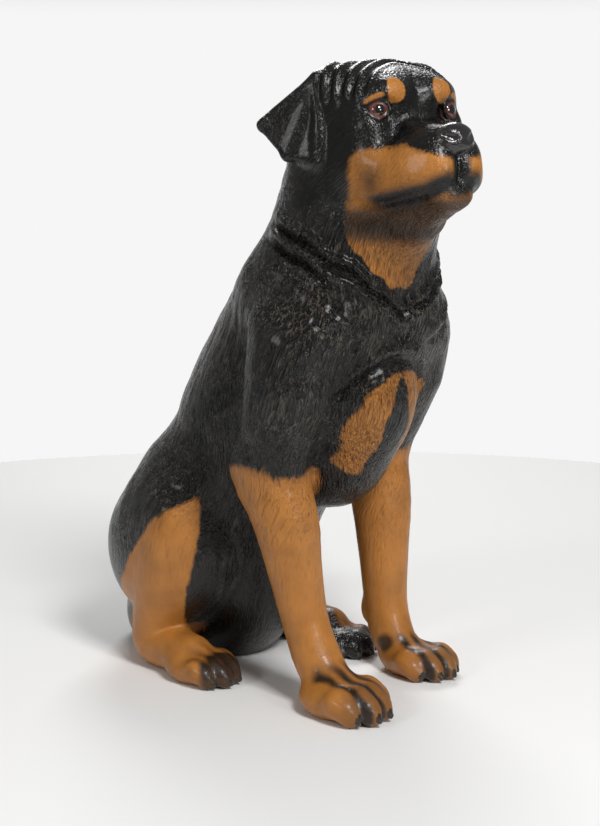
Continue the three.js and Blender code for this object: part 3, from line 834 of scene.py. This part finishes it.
    @staticmethod
    def gaps(paw: Paw, points: Points) -> Values:
        """Give a forepaw's sprayed stripes: one in each gap between its toes, and dark fronts on the toes."""
        x, y, z = paw.own.inside(points).T
        low = ramp(z, 70, 52) * ramp(np.abs(x), 66, 58) * ramp(y, 46, 26) * ramp(y, -100, -90)
        across = sorted(toe[0] * paw.side for toe in paw.toes)
        middles = [(a + b) / 2 for a, b in zip(across, across[1:])]
        spread = 1.0 - 0.004 * (y + 20)
        stripe = np.max([bump(x - middle * spread - 1.5 * np.sin(y / 6), 6.5) for middle in middles], axis=0)
        fronts = 0.45 * ramp(y + 0.35 * np.abs(x), -10, -34)
        return low * np.clip(np.maximum(1.2 * stripe, fronts), 0, 0.97)

    @staticmethod
    def toes(paw: Paw, points: Points) -> Values:
        """Give a hind paw's dark toes, with streaks that run back over the paw."""
        x, y, z = paw.own.inside(points).T
        low = ramp(z, 74, 58) * ramp(np.abs(x), 66, 58) * ramp(y, 60, 40) * ramp(y, -100, -90)
        streaks = 0.5 + 0.5 * np.sin(x / 3.6 + 1.3 * np.sin(y / 11))
        toe = ramp(y + 0.4 * np.abs(x), -6, -26)
        return low * np.clip(0.86 * toe + 0.55 * streaks * ramp(y, 24, -16) * ramp(z, 16, 34), 0, 0.95)

    def from_eye(self, points: Points) -> Values:
        """Give how far points of the head's frame are from the nearer eyeball."""
        head = self.figure.head
        return np.linalg.norm(folded(points) - np.array(head.eye_centre), axis=1) - head.eye_radius

    def rim(self, points: Points) -> Values:
        """Give the dark ring around each eye."""
        return ramp(self.from_eye(self.on_head(points)), 7, 3)

    def lids(self, points: Points) -> Values:
        """Give the edges of the lids, which are painted a fleshy pink."""
        local = self.on_head(points)
        return ramp(self.from_eye(local), 2.6, 0.8) * ramp(local[:, 1], 6, -2)

    def leather(self, points: Points) -> Values:
        """Give the nose."""
        x, y, z = self.on_head(points).T
        return ramp(np.sqrt((x / 34) ** 2 + ((y + 101) / 26) ** 2 + ((z + 56) / 27) ** 2), 1.05, 0.95)

    def claws(self, points: Points) -> Values:
        """Give the claws: the tips of the toes."""
        found = np.zeros(len(points))
        for leg in self.figure.legs:
            local = leg.paw.own.inside(points)
            for across, along in leg.paw.toes:
                tip = np.array((across * leg.paw.side * 1.05, along - 27, 13))
                found = np.maximum(found, ramp(np.linalg.norm(local - tip, axis=1), 9.5, 7.5))
        return found


class Finish(Enum):
    """The paint finishes on the statue, in the order of its material slots."""

    COAT = 0
    LEATHER = 1
    CLAW = 2


@dataclass(frozen=True)
class Socket:
    """One named input or output of a node group."""

    name: str
    kind: str = "NodeSocketFloat"
    given: float | None = None


class Nodes:
    """Short calls for building a node tree."""

    def __init__(self, tree: Tree) -> None:
        """Keep the tree."""
        self.tree = tree

    def feed(self, node: Node, inputs: dict) -> None:
        """Set a node's inputs by name or number, or link them where the value is a socket."""
        for name, value in inputs.items():
            if isinstance(value, Link):
                self.tree.links.new(value, node.inputs[name])
            else:
                node.inputs[name].default_value = value

    def node(self, kind: str, inputs: dict | None = None, **settings) -> Node:
        """Add a node.

        Args:
            kind: the node's type, without the words that all types start with.
            inputs: what each input gets, by name or number: a socket to link, or a value.
            settings: the node's own properties.

        Returns:
            The node.
        """
        made = self.tree.nodes.new(f"ShaderNode{kind}")
        for name, value in settings.items():
            setattr(made, name, value)
        self.feed(made, inputs or {})
        return made

    def place(self) -> Link:
        """Give the place on the object, in metres."""
        return self.node("TexCoord").outputs["Object"]

    def math(self, operation: str, *values: float | Link) -> Link:
        """Give the result of a Math node."""
        return self.node("Math", dict(enumerate(values)), operation=operation).outputs[0]

    def times(self, *values: float | Link) -> Link:
        """Give the product of two values."""
        return self.math("MULTIPLY", *values)

    def plus(self, *values: float | Link) -> Link:
        """Give the sum of two values."""
        return self.math("ADD", *values)

    def mix(self, factor: float | Link, low: object, high: object, blend: str = "MIX") -> Link:
        """Give the result of a colour Mix node."""
        return self.node("Mix", {0: factor, 6: low, 7: high}, data_type="RGBA", blend_type=blend).outputs[2]

    def noise(self, vector: Link, scale: float | Link, detail: float = 2.0, roughness: float = 0.5) -> Link:
        """Give the value of a Noise Texture."""
        inputs = {"Vector": vector, "Scale": scale, "Detail": detail, "Roughness": roughness}
        return self.node("TexNoise", inputs).outputs["Fac"]

    def span(self, value: Link, low: float, high: float, start: float, end: float) -> Link:
        """Give the value with low taken to start and high to end, and no further."""
        return self.node("MapRange", {0: value, 1: low, 2: high, 3: start, 4: end}).outputs[0]

    def attribute(self, name: str, output: str = "Fac") -> Link:
        """Give one of the values kept at the vertices."""
        return self.node("Attribute", attribute_name=name).outputs[output]

    def group(self, group: Tree, inputs: dict) -> Node:
        """Place a node group with its own values."""
        return self.node("Group", inputs, node_tree=group)


def new_group(name: str, inputs: list[Socket], outputs: list[Socket]) -> tuple[Nodes, dict, Node]:
    """Make an empty shader node group with named sockets.

    Args:
        name: the group's name.
        inputs: its inputs.
        outputs: its outputs.

    Returns:
        Its builder, its inputs by name, and the node that takes its outputs.
    """
    group = bpy.data.node_groups.new(name, "ShaderNodeTree")
    for socket in inputs:
        made = group.interface.new_socket(socket.name, in_out="INPUT", socket_type=socket.kind)
        if socket.given is not None:
            made.default_value = socket.given
    for socket in outputs:
        group.interface.new_socket(socket.name, in_out="OUTPUT", socket_type=socket.kind)
    start, end = group.nodes.new("NodeGroupInput"), group.nodes.new("NodeGroupOutput")
    return Nodes(group), {socket.name: start.outputs[socket.name] for socket in inputs}, end


class Effects:
    """The effects that the paints share, each a node group."""

    def __init__(self) -> None:
        """Build the groups."""
        self.hair = self.new_hair()
        self.mottle = self.new_mottle()
        self.gloss = self.new_gloss()

    @staticmethod
    def new_hair() -> Tree:
        """Combed hair: two sizes of noise on combed coordinates, sharpened so that strands stand apart."""
        nodes, given, end = new_group(
            "combed hair",
            [Socket("Comb", "NodeSocketVector"), Socket("Strands", given=260.0), Socket("Fine", given=0.4)],
            [Socket("Height"), Socket("Gaps"), Socket("Tips")])
        broad = nodes.noise(given["Comb"], given["Strands"], 2.0, 0.55)
        narrow = nodes.noise(given["Comb"], nodes.times(given["Strands"], 2.6), 1.0)
        ridged = nodes.math("SUBTRACT", 1.0, nodes.math("ABSOLUTE", nodes.span(broad, 0.2, 0.8, -1.0, 1.0)))
        height = nodes.plus(ridged, nodes.times(narrow, given["Fine"]))
        nodes.feed(end, {"Height": height, "Gaps": nodes.span(ridged, 0.75, 0.25, 0.0, 1.0),
                         "Tips": nodes.span(height, 0.98, 1.18, 0.0, 1.0)})
        return nodes.tree

    @staticmethod
    def new_mottle() -> Tree:
        """Hand-sprayed paint: a colour made a little lighter and darker in soft clouds."""
        nodes, given, end = new_group(
            "sprayed paint",
            [Socket("Color", "NodeSocketColor"), Socket("Vector", "NodeSocketVector"),
             Socket("Amount", given=0.2), Socket("Clouds", given=18.0)],
            [Socket("Color", "NodeSocketColor")])
        cloud = nodes.noise(given["Vector"], given["Clouds"], 4.0, 0.6)
        change = nodes.plus(1.0, nodes.times(nodes.span(cloud, 0.3, 0.7, -1.0, 1.0), given["Amount"]))
        grey = nodes.node("CombineColor", dict.fromkeys(range(3), change)).outputs[0]
        nodes.feed(end, {"Color": nodes.mix(1.0, given["Color"], grey, "MULTIPLY")})
        return nodes.tree

    @staticmethod
    def new_gloss() -> Tree:
        """Uneven gloss: roughness that wanders around a middle value."""
        nodes, given, end = new_group(
            "uneven gloss",
            [Socket("Vector", "NodeSocketVector"), Socket("Middle", given=0.3), Socket("Spread", given=0.1),
             Socket("Patches", given=40.0)],
            [Socket("Roughness")])
        patch = nodes.noise(given["Vector"], given["Patches"], 3.0, 0.6)
        change = nodes.times(nodes.span(patch, 0.3, 0.7, -1.0, 1.0), given["Spread"])
        nodes.feed(end, {"Roughness": nodes.plus(given["Middle"], change)})
        return nodes.tree


def new_material(name: str) -> tuple[Material, Nodes, Node]:
    """Make a node material, and give it with its builder and its Principled BSDF."""
    material = bpy.data.materials.new(name)
    material.use_nodes = True
    return material, Nodes(material.node_tree), material.node_tree.nodes["Principled BSDF"]


@dataclass(frozen=True)
class Spray:
    """How a paint lies: clouds of lighter and darker colour, and patches of duller gloss."""

    amount: float
    clouds: float
    spread: float
    patches: float

    def cover(self, effects: Effects, nodes: Nodes, shader: Node, colour: object, gloss: object) -> None:
        """Give the shader its colour and roughness, each through its effect."""
        place = nodes.place()
        paint = nodes.group(effects.mottle, {"Color": colour, "Vector": place, "Amount": self.amount,
                                             "Clouds": self.clouds})
        rough = nodes.group(effects.gloss, {"Vector": place, "Middle": gloss, "Spread": self.spread,
                                            "Patches": self.patches})
        nodes.feed(shader, {"Base Color": paint.outputs[0], "Roughness": rough.outputs[0]})


@dataclass(frozen=True)
class CoatPaint:
    """The dog's coat: black over all, tan markings, painted shade that turns the tan brown under the jaw, all
    in one gloss.
    """

    black: Colour = (0.0048, 0.0042, 0.0038, 1.0)
    # painted highlight: the colour of the lit tips of the black hair
    black_sheen: Colour = (0.105, 0.084, 0.066, 1.0)
    tan: Colour = (0.385, 0.150, 0.026, 1.0)
    # painted shade: the tan in the gaps between strands
    tan_shaded: Colour = (0.19, 0.070, 0.016, 1.0)
    # painted shade: the tan darkened under the jaw
    brown: Colour = (0.070, 0.036, 0.016, 1.0)
    flesh: Colour = (0.15, 0.055, 0.042, 1.0)
    spray: Spray = Spray(0.16, 26.0, 0.06, 55.0)

    def material(self, effects: Effects) -> Material:
        """Make the material: masks choose the paint, and the hair gives its bump, painted shade in its gaps
        on the tan and painted highlights on its tips on the black.
        """
        material, nodes, shader = new_material("coat paint")
        place, full = nodes.place(), nodes.attribute("full")
        strands = {"Comb": nodes.attribute("comb", "Vector"), "Strands": 170.0, "Fine": 0.35}
        hair = nodes.group(effects.hair, strands).outputs
        # painted highlight: the black is lightened on the tips of the strands, in patches
        sheen_patches = nodes.span(nodes.noise(place, 13.0, 3.0, 0.6), 0.38, 0.62, 0.15, 1.0)
        sheen = nodes.times(full, nodes.times(hair["Tips"], sheen_patches))
        black = nodes.mix(sheen, self.black, self.black_sheen)
        # painted shade: the tan is darker in the gaps between the strands
        gaps = nodes.times(hair["Gaps"], nodes.span(full, 0.0, 0.6, 0.12, 0.6))
        tan = nodes.mix(gaps, self.tan, self.tan_shaded)
        # painted shade: the tan turns dull brown under the jaw
        brown = nodes.mix(nodes.times(nodes.attribute("brown"), 0.92), tan, self.brown)
        drift = nodes.span(nodes.noise(place, 34.0, 3.0, 0.55), 0.3, 0.7, -0.16, 0.16)
        tufts = nodes.times(nodes.span(hair["Height"], 0.2, 1.2, -0.5, 0.5), 0.3)
        soft = nodes.plus(nodes.plus(nodes.attribute("tan"), tufts), drift)
        shown = nodes.span(soft, 0.28, 0.72, 0.0, 1.0)
        paint = nodes.mix(nodes.attribute("dark"), nodes.mix(shown, black, brown), self.black)
        paint = nodes.mix(nodes.attribute("lids"), paint, self.flesh)
        self.spray.cover(effects, nodes, shader, paint, nodes.span(shown, 0.0, 1.0, 0.25, 0.46))
        depth = nodes.times(hair["Height"], nodes.attribute("hair"))
        raised = nodes.node("Bump", {"Height": depth, "Strength": 1.0, "Distance": 0.0085})
        nodes.feed(shader, {"Normal": raised.outputs[0], "Specular IOR Level": 0.36, "Coat Weight": 0.18,
                            "Coat Roughness": 0.16})
        return material


@dataclass(frozen=True)
class LeatherPaint:
    """The nose: wet-looking black with fine pebbles, the cells of a Voronoi texture."""

    black: Colour = (0.014, 0.012, 0.012, 1.0)
    spray: Spray = Spray(0.3, 60.0, 0.08, 90.0)

    def material(self, effects: Effects) -> Material:
        """Make the material."""
        material, nodes, shader = new_material("nose paint")
        self.spray.cover(effects, nodes, shader, self.black, 0.22)
        pebbles = nodes.node("TexVoronoi", {"Vector": nodes.place(), "Scale": 330.0}).outputs["Distance"]
        height = nodes.math("SUBTRACT", 1.0, pebbles)
        raised = nodes.node("Bump", {"Height": height, "Strength": 0.6, "Distance": 0.0009})
        nodes.feed(shader, {"Normal": raised.outputs[0], "Coat Weight": 0.5})
        return material


@dataclass(frozen=True)
class ClawPaint:
    """The claws: dark brown, smooth."""

    colour: Colour = (0.03, 0.022, 0.016, 1.0)
    spray: Spray = Spray(0.3, 120.0, 0.08, 120.0)

    def material(self, effects: Effects) -> Material:
        """Make the material."""
        material, nodes, shader = new_material("claw paint")
        self.spray.cover(effects, nodes, shader, self.colour, 0.28)
        return material


@dataclass(frozen=True)
class EyePaint:
    """The eyes: a black pupil in a brown iris with a dark edge, reddish towards the lids."""

    pupil: Colour = (0.003, 0.0025, 0.0025, 1.0)
    iris: Colour = (0.085, 0.022, 0.012, 1.0)
    edge: Colour = (0.012, 0.007, 0.006, 1.0)
    white: Colour = (0.16, 0.065, 0.052, 1.0)
    spray: Spray = Spray(0.35, 420.0, 0.02, 90.0)

    def material(self, effects: Effects) -> Material:
        """Make the material: rings by the angle from the gaze."""
        material, nodes, shader = new_material("eye paint")
        rings = nodes.node("ValToRGB", {"Fac": nodes.attribute("angle")})
        stops = ((0.0, self.pupil), (0.21, self.pupil), (0.25, self.iris), (0.50, self.iris),
                 (0.56, self.edge), (0.64, self.white), (1.0, self.white))
        elements = rings.color_ramp.elements
        while len(elements) < len(stops):
            elements.new(0.5)
        for element, (position, colour) in zip(elements, stops):
            element.position = position
            element.color = colour
        self.spray.cover(effects, nodes, shader, rings.outputs["Color"], 0.06)
        nodes.feed(shader, {"Coat Weight": 1.0, "Coat Roughness": 0.03})
        return material


def new_object(name: str, data: bpy.types.ID) -> Piece:
    """Put an object with the data into the scene."""
    made = bpy.data.objects.new(name, data)
    bpy.context.scene.collection.objects.link(made)
    return made


def new_mesh(name: str, vertices: Points, faces: list[np.ndarray], masks: dict[str, np.ndarray]) -> Piece:
    """Make a smooth mesh object at the origin.

    Args:
        name: the piece's name.
        vertices: its vertices, in metres.
        faces: rows of vertex numbers, in one array for each number of corners.
        masks: values or vectors at the vertices, by attribute name.

    Returns:
        The object, in the scene.
    """
    loops = np.concatenate([rows.ravel() for rows in faces]).astype(np.int32)
    corners = np.concatenate([np.full(len(rows), rows.shape[1]) for rows in faces])
    mesh = bpy.data.meshes.new(name)
    mesh.vertices.add(len(vertices))
    mesh.vertices.foreach_set("co", vertices.astype(np.float32).ravel())
    mesh.loops.add(len(loops))
    mesh.loops.foreach_set("vertex_index", loops)
    mesh.polygons.add(len(corners))
    mesh.polygons.foreach_set("loop_start", (np.cumsum(corners) - corners).astype(np.int32))
    mesh.update(calc_edges=True)
    mesh.validate()
    mesh.shade_smooth()
    for mask, values in masks.items():
        kind, field_name = ("FLOAT_VECTOR", "vector") if values.ndim == 2 else ("FLOAT", "value")
        layer = mesh.attributes.new(mask, kind, "POINT")
        layer.data.foreach_set(field_name, values.astype(np.float32).ravel())
    return new_object(name, mesh)


@dataclass
class Statue:
    """The painted statue: the coat and the two eyes."""

    figure: Figure = field(default_factory=Figure)
    middle: np.ndarray = field(default_factory=lambda: np.zeros(3))
    unit: float = 0.0009
    comb_stretch: float = 0.12
    rings: int = 28
    sectors: int = 40

    def in_metres(self, points: Points) -> Points:
        """Turn points of the figure into metres in the CAD's frame."""
        return (points - self.middle) * self.unit

    def body(self, effects: Effects) -> Piece:
        """Skin, carve and paint the figure."""
        skinner, coat, plan = Skinner(self.figure), Coat(self.figure), PaintPlan(self.figure)
        vertices, quads = skinner.skin()
        vertices = skinner.settle(vertices)
        low, high = vertices.min(0), vertices.max(0)
        self.middle = np.array(((low[0] + high[0]) / 2, (low[1] + high[1]) / 2, 0.0))
        self.unit = (CAD_BOX[1][2] - CAD_BOX[0][2]) / high[2]
        leather, claws, full = plan.leather(vertices), plan.claws(vertices), coat.fullness(vertices)
        smooth = np.maximum.reduce([leather, claws, plan.rim(vertices)])
        legs = 0.72 * np.maximum(plan.tan_forelegs(vertices), plan.tan_hindlegs(vertices))
        masks = {
            # brown is painted shade under the jaw, and dark holds a painted shadow of the jaw
            "tan": plan.tan(vertices), "dark": plan.dark(vertices), "brown": plan.brown(vertices),
            "full": full, "comb": coat.combed(vertices, self.comb_stretch) * self.unit,
            "hair": (1 - smooth) * (1 - legs) * (0.12 + 0.88 * ramp(full, 0.0, 0.6)),
            "lids": plan.lids(vertices),
        }
        carved = coat.carve(vertices)
        carved[:, 2] = np.maximum(carved[:, 2], 0.0)
        body = new_mesh("painted_coat", self.in_metres(carved), [quads], masks)
        for paint in (CoatPaint(), LeatherPaint(), ClawPaint()):
            body.data.materials.append(paint.material(effects))
        finish = np.where((leather > 0.5)[quads].all(1), Finish.LEATHER.value, Finish.COAT.value)
        finish = np.where((claws > 0.5)[quads].all(1), Finish.CLAW.value, finish)
        body.data.polygons.foreach_set("material_index", finish.astype(np.int32))
        return body

    def eye(self, side: int, paint: Material) -> Piece:
        """Make an eyeball on a grid of angle from the gaze by angle around it, closed at both poles.

        The gaze runs forward and a little out. The cornea stands out by a bell curve around it.
        """
        head = self.figure.head
        tilts = np.linspace(0, math.pi, self.rings + 1)[1:-1]
        angle, turn = np.meshgrid(tilts, np.arange(self.sectors) * 2 * math.pi / self.sectors, indexing="ij")
        ball = np.stack((np.sin(angle) * np.cos(turn), -np.cos(angle), np.sin(angle) * np.sin(turn)), -1)
        ball = np.vstack((ball.reshape(-1, 3), (0, -1, 0), (0, 1, 0)))
        angles = np.concatenate((angle.ravel(), (0.0, math.pi)))
        radius = head.eye_radius * (1.02 + 0.05 * bump(angles, 0.5))
        gaze = Frame((0, 0, 0), 0, 16.0 * side)
        local = gaze.outside(ball * radius[:, None]) + np.array(head.eye_centre) * (side, 1, 1)
        points = head.own.outside(local)
        grid = np.arange(len(points) - 2).reshape(-1, self.sectors)
        around = np.roll(grid, -1, 1)
        sides = np.stack((grid[:-1], grid[1:], around[1:], around[:-1]), -1).reshape(-1, 4)
        poles = np.full((2, self.sectors), ((len(points) - 2,), (len(points) - 1,)))
        caps = np.vstack((np.column_stack((poles[0], grid[0], around[0])),
                          np.column_stack((poles[1], around[-1], grid[-1]))))
        name = "eye_left" if side > 0 else "eye_right"
        eye = new_mesh(name, self.in_metres(points), [sides, caps], {"angle": angles / 1.9})
        eye.data.materials.append(paint)
        return eye

    def build(self) -> list[Piece]:
        """Build every piece, hide the CAD part, and attach each piece to the root with a log of its faces."""
        effects = Effects()
        body = self.body(effects)
        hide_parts(NODE)
        eye_paint = EyePaint().material(effects)
        made = [body, *(self.eye(side, eye_paint) for side in (-1, 1))]
        for piece in made:
            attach(piece, "root")
            log.info("%s: %d faces", piece.name, len(piece.data.polygons))
        return made


@dataclass(frozen=True)
class Lamp:
    """A square area light that faces the middle of the statue."""

    name: str
    place: Point
    size: float
    power: float

    def hang(self) -> None:
        """Put it into the scene."""
        data = bpy.data.lights.new(self.name, "AREA")
        data.size = self.size
        data.energy = self.power
        made = new_object(self.name, data)
        made.location = self.place
        made.rotation_euler = (Vector((0, 0, 0.5)) - Vector(self.place)).to_track_quat("-Z", "Y").to_euler()


@dataclass
class Studio:
    """The pale floor, the soft lights and the camera at the photograph's place."""

    place: Point = (-2064.7, -2107.3, 927.9)
    azimuth: float = -45.0
    pitch: float = 9.617
    lens: float = 78.45
    sensor: float = 36.0
    floor_radius: float = 1.75
    floor_corners: int = 96
    behind: Point = (0.7071, 0.7071, 0.0)
    lamps: tuple[Lamp, ...] = (
        Lamp("key", (-0.9, -2.5, 2.9), 0.9, 92.0),
        Lamp("front", (-0.5, -3.3, 1.3), 0.7, 20.0),
        Lamp("side", (-3.1, 0.1, 1.7), 0.7, 15.0),
        Lamp("rim", (1.7, 1.8, 2.4), 1.2, 48.0),
    )

    def camera(self, statue: Statue) -> None:
        """Set the camera, level in roll, looking down by the pitch."""
        data = bpy.data.cameras.new("camera")
        data.lens = self.lens
        data.sensor_width = self.sensor
        made = new_object("camera", data)
        made.location = statue.in_metres(np.array(self.place))
        made.rotation_euler = (math.radians(90.0 - self.pitch), 0.0, math.radians(self.azimuth))
        bpy.context.scene.camera = made

    def floor(self) -> None:
        """Lay the floor, a disc."""
        turn = np.arange(self.floor_corners) * 2 * math.pi / self.floor_corners
        rim = self.floor_radius * np.column_stack((np.cos(turn), np.sin(turn), np.zeros(len(turn))))
        made = new_mesh("floor", rim, [np.arange(len(turn))[None]], {})
        material, nodes, shader = new_material("pale floor")
        nodes.feed(shader, {"Base Color": (0.86, 0.86, 0.85, 1.0), "Roughness": 0.9})
        made.data.materials.append(material)

    def surround(self) -> None:
        """Light the world: dim, with a bright band low behind the statue."""
        world = bpy.data.worlds.new("studio")
        world.use_nodes = True
        nodes = Nodes(world.node_tree)
        way = nodes.node("TexCoord").outputs["Generated"]
        behind = nodes.node("VectorMath", {0: way, 1: self.behind}, operation="DOT_PRODUCT").outputs["Value"]
        up = nodes.node("SeparateXYZ", {0: way}).outputs[2]
        band = nodes.times(nodes.span(up, 0.05, 0.16, 1.0, 0.0), nodes.span(behind, 0.75, 0.92, 0.0, 1.0))
        nodes.feed(world.node_tree.nodes["Background"],
                   {"Color": (1.0, 1.0, 1.0, 1.0), "Strength": nodes.span(band, 0.0, 1.0, 0.22, 0.92)})
        bpy.context.scene.world = world

    def build(self, statue: Statue) -> None:
        """Set up the studio."""
        self.camera(statue)
        self.floor()
        for lamp in self.lamps:
            lamp.hang()
        self.surround()
        bpy.context.scene.view_settings.view_transform = "Standard"


def main() -> None:
    """Build the statue and the studio."""
    logging.basicConfig(level=logging.INFO, format="%(name)s %(message)s")
    statue = Statue()
    statue.build()
    Studio().build(statue)


if __name__ == "__main__":
    main()
